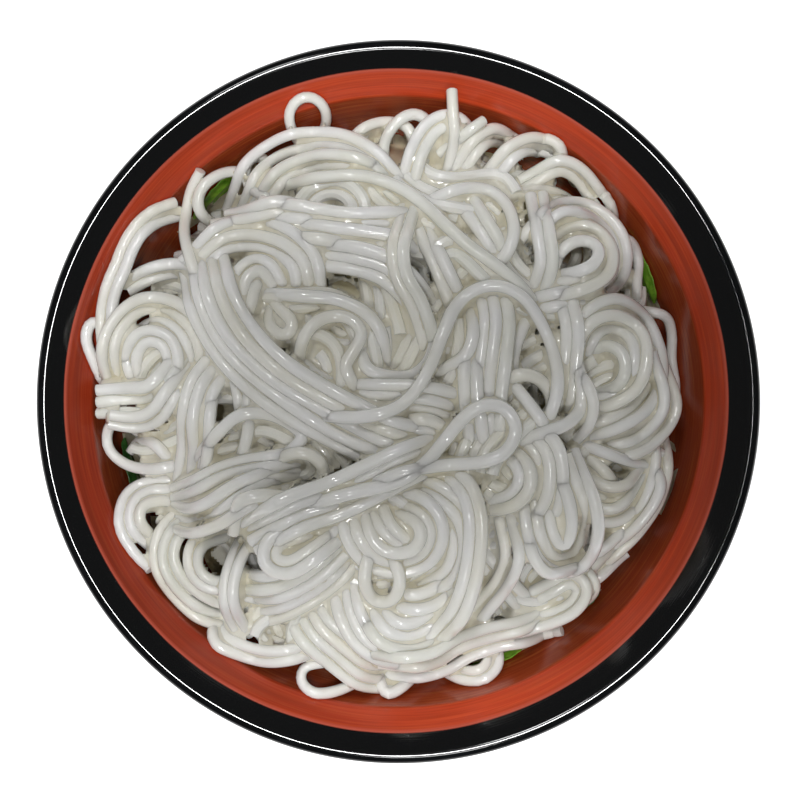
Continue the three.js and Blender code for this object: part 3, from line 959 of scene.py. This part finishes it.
def heading_at(points, waves):
    """The direction of the nests' winding at each point, stirred by slow waves."""
    pull = np.zeros_like(points)
    for x, y, size, way in NESTS:
        off = points - (x, y)
        near_by = way * np.exp(-(off ** 2).sum(1) / (2 * (NEST_REACH * size) ** 2))
        pull -= off / size * near_by[:, None]
    turned = (waves[:, :, :2] * points[:, None]).sum(2) + waves[:, :, 2]
    pull += STIR * np.cos(turned)[:, :, None].sum(1) * np.sign(waves[:, 0, :2])
    out = np.hypot(*points.T)
    edge = 3 * np.clip((out - 70) / 16, 0, 1) ** 2
    pull -= points * (edge / np.maximum(out, 1))[:, None]
    way = np.c_[-pull[:, 1], pull[:, 0]]
    return way / np.maximum(np.linalg.norm(way, axis=1, keepdims=True), 1e-6)


def follow(here, way, waves, length):
    """The routes that leave here and go with the winding, as one array."""
    path = [here]
    for _ in range(int(length / STEP)):
        new = heading_at(here + way * STEP / 2, waves)
        new *= np.where((new * way).sum(1, keepdims=True) < 0, -1, 1)
        angle = np.arctan2(way[:, 0] * new[:, 1] - way[:, 1] * new[:, 0],
                           (way * new).sum(1))
        angle = np.clip(angle, -STEP / TURN, STEP / TURN)
        c, s = np.cos(angle), np.sin(angle)
        way = np.c_[way[:, 0] * c - way[:, 1] * s, way[:, 0] * s + way[:, 1] * c]
        here = here + way * STEP
        path.append(here)
    return np.stack(path, 1)


def wind(count, gap, reach):
    """Routes through the emptiest places, which follow the winding both ways."""
    picked = draw.choice(CELLS * CELLS, count, p=gap.ravel() / gap.sum())
    here = np.c_[axis[picked // CELLS], axis[picked % CELLS]]
    waves = np.dstack([draw.uniform(-0.1, 0.1, (count, 2, 2)),
                       draw.uniform(0, 2 * np.pi, (count, 2, 1))])
    way = heading_at(here, waves)
    on, back = (follow(here, w, waves, reach) for w in (way, -way))
    for forth, other, lengths in zip(on, back, draw.uniform(12, reach, (count, 2))):
        first, second = (int(length / STEP) for length in lengths)
        line = np.vstack([other[first:0:-1], forth[:second]])
        line = line[np.hypot(*line.T) < FILL_EDGE]
        if len(line) > 14 and np.hypot(*np.diff(line, axis=0).T).max() < 2 * STEP:
            yield line


draw = np.random.default_rng(SEED)
radius = np.hypot(*np.meshgrid(axis, axis))
edge_drop = EDGE_DROP * np.clip((radius - EDGE_START) / 12, 0, 1) ** 1.5
bed = np.maximum(bed - FILL_ROOM, wall)
too_deep = np.where(shown & covered, np.maximum(goal - GAP_DEPTH - bed, 0), 0)
bed = bed + blur(spread(too_deep, 2.0, np.maximum), 1.5)
core = np.maximum(bed - FILL_DEPTH - edge_drop, wall)
heights = core.copy()
inside = covered & (radius < FILL_EDGE - 1)
fill, filled = [], 0.0
for reach, least_use in FILL_ROUNDS:
    misses = 0
    while filled < FILL_LENGTH and misses < PATIENCE:
        bare = (heights < core + BARE) & inside
        best = (0.0, None, None)
        for line in wind(TRIES, bare * (1.0 + 9.0 * shown), reach):
            use = read(bare, line).mean()
            middles = drape(heights, line)
            room = read(bed, line) - middles - HALF
            score = use + CROWDING * np.minimum(room, 0).mean()
            if use > least_use and score > best[0]:
                best = (score, line, middles)
        misses += 1
        if best[1] is None:
            continue
        misses = 0
        for k in range(draw.integers(1, 3)):
            line = beside(best[1], k * NOODLE * draw.uniform(0.94, 1.04))
            line = line[np.hypot(*line.T) < FILL_EDGE]
            if len(line) > 12:
                middles = drape(heights, line)
                stamp(heights, line, middles)
                fill.append((line, middles))
                filled += STEP * len(line)
bare_share = ((heights < core + BARE) & inside).sum() / inside.sum()
print("fill:", len(fill), "noodles,", round(filled / 1000, 1), "m; bare core left:",
      round(100 * float(bare_share), 1), "%")

# %% Noodles: the routes on top, laid for good
draw = np.random.default_rng(SEED)
top = lay_routes(heights)
print("top:", len(top), "noodles,", round(sum(len(p) for p, _ in top) * STEP / 1000, 1),
      "m; highest point", round(float(heights.max()), 1), "mm")

# %% [markdown]
# Each noodle is drawn as a round tube on its route. A curve with a bevel does that
# well: it turns smoothly and its ends are cut flat, as a noodle's are where the
# press cut it. A noodle isn't the same thickness all along, so its radius changes a
# little. The curves become meshes, in pieces that stay small enough to print.

# %% Noodles: the material
def rice_noodle(name, hex_value, shadow_hex, seed):
    """Cooked rice starch: white, wet and translucent. Light goes in, scatters and
    comes out again in the next noodle, so shade between neighbours is soft and warm.
    A film of water on top breaks its bright streaks into small glints."""
    made, shader = start_material(name, hex_value, 0.34, 1.40,
                                  Subsurface_Weight=0.6, Subsurface_Scale=1.6 * MM,
                                  Coat_Weight=1.0, Coat_Roughness=0.11, Coat_IOR=1.5)
    shader.inputs["Subsurface Radius"].default_value = (1.0, 1.0, 1.0)
    place = add(made, "ShaderNodeTexCoord").outputs["Object"]
    moved = add(made, "ShaderNodeMapping", {"Location": (seed, 0.3 * seed, 0)},
                {"Vector": place}).outputs["Vector"]
    tone = add(made, "ShaderNodeTexNoise", {"Scale": 1 / (16 * MM), "Detail": 3},
               {"Vector": moved}).outputs["Fac"]
    add(made, RAMP, links={0: tone}, feeds={"Base Color": "Color"},
        stops=[(0.3, shadow_hex), (0.65, hex_value)])
    grain = add(made, "ShaderNodeTexNoise", {"Scale": 1 / (1.0 * MM), "Detail": 2,
                                             "Roughness": 0.45},
                {"Vector": moved}).outputs["Fac"]
    add(made, "ShaderNodeBump", {"Strength": 0.5, "Distance": 0.08 * MM},
        {"Height": grain}, {"Normal": "Normal", "Coat Normal": "Normal"})
    return made


noodle_finishes = [
    rice_noodle("rice_starch_white", "fbfaf6", "f4f3ec", 0.0),
    rice_noodle("rice_starch_warm", "f9f7f0", "f2f0e4", 0.7),
    rice_noodle("rice_starch_clear", "f6f6f0", "ecece2", 1.9),
]

# %% Noodles: the tubes
SIDES_TOP, SIDES_FILL = 10, 8            # of a tube
SWELL = 0.045                            # share that a noodle's radius varies by
# Deep ones are drawn a little thinner, which is a guess that keeps the ones on top
# distinct: (height in mm, share of the thickness).
THICKNESS = ([62, 76, 88, 98], [0.86, 0.93, 1.0, 1.04])
LIMIT = 185000                           # triangles in one piece


def tubes(name, noodles, sides, finishes):
    """One piece of round tubes for these noodles."""
    curve = bpy.data.curves.new(name, "CURVE")
    curve.dimensions = "3D"
    curve.bevel_depth = HALF * MM
    curve.bevel_resolution = sides // 2 - 2
    curve.use_fill_caps = True
    for finish in finishes:
        curve.materials.append(finish)
    for points, middles in noodles:
        route = np.c_[points, middles]
        if len(route) < 3:
            continue
        spline = curve.splines.new("POLY")
        spline.points.add(len(route) - 1)
        places = np.c_[route * MM, np.ones(len(route))]
        spline.points.foreach_set("co", places.ravel())
        knots = max(3, len(route) // 8)
        swell = np.interp(np.linspace(0, knots - 1, len(route)), range(knots),
                          draw.normal(1.0, SWELL, knots)).clip(0.88, 1.12)
        swell = swell * np.interp(route[:, 2], *THICKNESS)
        spline.points.foreach_set("radius", swell)
        spline.material_index = int(draw.choice(len(finishes), p=FINISH_SHARES))
    holder = bpy.data.objects.new(name + "_curve", curve)
    bpy.context.scene.collection.objects.link(holder)
    grown = holder.evaluated_get(bpy.context.evaluated_depsgraph_get())
    mesh = bpy.data.meshes.new_from_object(grown)
    bpy.data.objects.remove(holder)
    return mesh


FINISH_SHARES = (0.5, 0.3, 0.2)
draw = np.random.default_rng(SEED + 1)


def share_out(noodles, sides):
    """Splits the noodles into runs whose tubes stay below the limit."""
    runs, run, faces = [], [], 0
    for points, middles in noodles:
        more = 2 * sides * (len(points) + 1)
        if faces + more > LIMIT:
            runs.append(run)
            run, faces = [], 0
        run.append((points, middles))
        faces += more
    return [*runs, run]


for layer, noodles, sides in (("top", top, SIDES_TOP), ("fill", fill, SIDES_FILL)):
    for k, run in enumerate(share_out(noodles, sides), 1):
        name = f"noodles_{layer}_{k}"
        finish_piece(name, tubes(name, run, sides, noodle_finishes), [],
                     ["noodles"])

# %% [markdown]
# Cooked noodles are wet with starchy water, which clings in the grooves between
# them and joins neighbours up. Without it the heap looks like dry cord, with a dark
# slot beside every strand. The film is a grid laid at the height of the noodles'
# tops, with the narrow grooves bridged, and then sunk until only the grooves show it.

# %% Noodles: the starchy film between them
FILM_SINK = 1.25                         # mm, how far below the noodles' tops it lies
GROOVE = 1.2                             # mm, half the width of a groove it bridges
FILM_GRID = 0.8                          # mm between its points
FILM_THICK = 0.5                         # mm
FILM_EDGE = 88.0                         # mm, as far out as it can reach
SMALLEST_PATCH = 150                     # grid faces; smaller ones look like shards


bridged = spread(spread(heights, GROOVE, np.maximum), GROOVE, np.minimum)
film_level = np.minimum(blur(bridged, 0.7), bridged + 0.3) - FILM_SINK
under_noodles = spread((heights > wall + 1.0).astype(float), 1.5, np.minimum) > 0.5
film_level = np.where(under_noodles, np.maximum(film_level, wall + 0.3), -1.0)


def small_patches(work):
    """The faces of the patches of film that have too few of them."""
    left, small = set(work.faces), []
    while left:
        edge, patch = [left.pop()], []
        while edge:
            face = edge.pop()
            patch.append(face)
            for near_by in {f for e in face.edges for f in e.link_faces} & left:
                left.remove(near_by)
                edge.append(near_by)
        if len(patch) < SMALLEST_PATCH:
            small += patch
    return small


def film_mesh():
    work = bmesh.new()
    segments = int(2 * FILM_EDGE / FILM_GRID)
    bmesh.ops.create_grid(work, x_segments=segments, y_segments=segments,
                          size=FILM_EDGE * MM)
    spots = np.array([[v.co.x, v.co.y] for v in work.verts]) / MM
    levels = read(film_level, spots)
    for vert, level in zip(work.verts, levels):
        vert.co.z = level * MM
    bare = [v for v, level in zip(work.verts, levels) if level < 0]
    bmesh.ops.delete(work, geom=bare, context="VERTS")
    steep = [f for f in work.faces if f.normal.z < 0.16]
    bmesh.ops.delete(work, geom=steep, context="FACES")
    bmesh.ops.delete(work, geom=small_patches(work), context="FACES")
    bmesh.ops.smooth_vert(work, verts=work.verts, factor=0.5, use_axis_z=True)
    loose = [v for v in work.verts if not v.link_faces]
    bmesh.ops.delete(work, geom=loose, context="VERTS")
    mesh = bpy.data.meshes.new("film")
    work.to_mesh(mesh)
    work.free()
    return mesh


film_finish = rice_noodle("rice_starch_film", "f5f1e0", "ebe3c8", 2.3)
film = finish_piece("noodles_film", film_mesh(), [film_finish],
                    ["noodles"])
body = film.modifiers.new("thickness", "SOLIDIFY")
body.thickness, body.offset = FILM_THICK * MM, -1.0

# %% [markdown]
# Below the fill there is a core, so that no gap shows the empty bowl: a copy of the
# CAD heap, shrunk towards the bed that the noodles lie on. Its starch is coloured
# darker and warmer than the noodles', as painted shade for the deep gaps between them.
# It stays smooth, as only slivers of it show.

# %% Noodles: the core
def sunk_core():
    work = bmesh.new()
    work.from_mesh(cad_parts["noodles"].data)
    bmesh.ops.remove_doubles(work, verts=work.verts, dist=0.002 * MM)
    bmesh.ops.recalc_face_normals(work, faces=work.faces)
    for vert in work.verts:
        spot = np.array([[vert.co.x, vert.co.y]]) / MM
        here = float(read(core, spot)[0])
        under = float(read(wall, spot)[0])
        if here < under + CORE_CLEAR:
            vert.co.z = min(vert.co.z, (under - CORE_CLEAR) * MM)
        elif vert.co.z / MM > here - 0.2:
            vert.co.z = (here - CORE_SINK) * MM
    mesh = bpy.data.meshes.new("core")
    work.to_mesh(mesh)
    work.free()
    return mesh


CORE_CLEAR = 0.9                         # mm, a thinner core hides in the wall
CORE_SINK = 0.3                          # mm that it lies below the fill
# darker, warmer starch: painted shade for the deep gaps
painted_shade_core_finish = rice_noodle("rice_starch_painted_shade", "efe8cc", "e0d4ac", 3.1)
finish_piece("noodles_core", sunk_core(), [painted_shade_core_finish], ["noodles"])

# %% [markdown]
# The stage is a plain white table that glows a little, so that it stays white. Most
# of the light comes from a lamp right above, with weaker panels in front and behind
# for glints, and a wide ceiling and low walls for the room's own soft light. The
# middle of the heap is in soft shade, and its shape alone doesn't give that, so a
# card that the camera can't see is held over it, as a studio's flag is.

# %% Floor and light
def soft_box(name, place, size, watts, hex_value="ffffff"):
    """An area light that faces the bowl's lip."""
    lamp = bpy.data.lights.new(name, "AREA")
    lamp.shape, lamp.size, lamp.size_y = "RECTANGLE", *size
    lamp.energy = watts
    lamp.color = colour(hex_value)[:3]
    holder = bpy.data.objects.new(name, lamp)
    holder.location = place
    aim = Vector((0, 0, LIP_HEIGHT * MM)) - holder.location
    holder.rotation_euler = aim.to_track_quat("-Z", "Y").to_euler()
    bpy.context.scene.collection.objects.link(holder)
    return holder


# The card, further down, keeps this lamp off the middle of the heap. The lip's crest
# sees the lamp nearly all round, and shows it as a thin bright line. The two square
# panels put glints on the wet noodles.
soft_box("lamp_above", (0, 0, 1.70), (0.17, 0.17), 13.5)
soft_box("front_panel", (0.05, -0.50, 1.25), (0.17, 0.17), 2.6)
soft_box("back_panel", (-0.22, 0.52, 1.22), (0.17, 0.17), 2.2)
# A wide ceiling and two wide low walls stand for the room's own soft light. They
# have no mirror image, as the real ones are too dim to show one on the lip.
for name, place, size, watts in (
        ("ceiling", (0, 0, 1.75), (2.4, 2.4), 1.0),
        ("front_wall", (-0.25, -1.05, 0.70), (1.2, 0.6), 1.5),
        ("back_wall", (-0.60, 0.85, 0.70), (1.0, 0.6), 1.3)):
    soft_box(name, place, size, watts).visible_glossy = False

world = bpy.data.worlds.new("studio")
bpy.context.scene.world = world
world.use_nodes = True
sky = world.node_tree.nodes["Background"]
sky.inputs["Color"].default_value = colour("ffffff")
sky.inputs["Strength"].default_value = 0.095

paper, paper_shader = start_material("white_table", "fbfbfb", 0.9, 1.45,
                                     Emission_Strength=0.7)
paper_shader.inputs["Emission Color"].default_value = colour("ffffff")
grain = add(paper, "ShaderNodeTexNoise", {"Scale": 1 / (3 * MM), "Detail": 3},
            {"Vector": add(paper, "ShaderNodeTexCoord").outputs["Object"]})
add(paper, RAMP, links={0: grain.outputs["Fac"]}, feeds={"Base Color": "Color"},
    stops=[(0.3, "f8f8f8"), (0.7, "fdfdfd")])
FLOOR_HALF = 20.0                        # m, a low view still sees its far edge
work = bmesh.new()
bmesh.ops.create_grid(work, x_segments=2, y_segments=2, size=FLOOR_HALF)
floor_mesh = bpy.data.meshes.new("floor")
work.to_mesh(floor_mesh)
work.free()
floor_mesh.materials.append(paper)
floor = bpy.data.objects.new("floor", floor_mesh)
bpy.context.scene.collection.objects.link(floor)

CARD_SIZE = (0.146, 0.088)
CARD_PLACE = (0.019, 0.001, 0.512)
work = bmesh.new()
bmesh.ops.create_cube(work, size=1.0)
bmesh.ops.scale(work, vec=(*CARD_SIZE, 0.004), verts=work.verts)
bmesh.ops.translate(work, vec=CARD_PLACE, verts=work.verts)
bmesh.ops.bevel(work, geom=work.edges, offset=0.0012, offset_type="OFFSET", segments=2,
                profile=0.5, affect="EDGES", material=-1)
card_mesh = bpy.data.meshes.new("shade_card")
work.to_mesh(card_mesh)
work.free()
card_mesh.materials.append(start_material("grey_card", "3c3c3c", 0.8, 1.45)[0])
card = bpy.data.objects.new("shade_card", card_mesh)
bpy.context.scene.collection.objects.link(card)
card.visible_camera = False

# %% Bringing the scene up to date
bpy.context.view_layer.update()
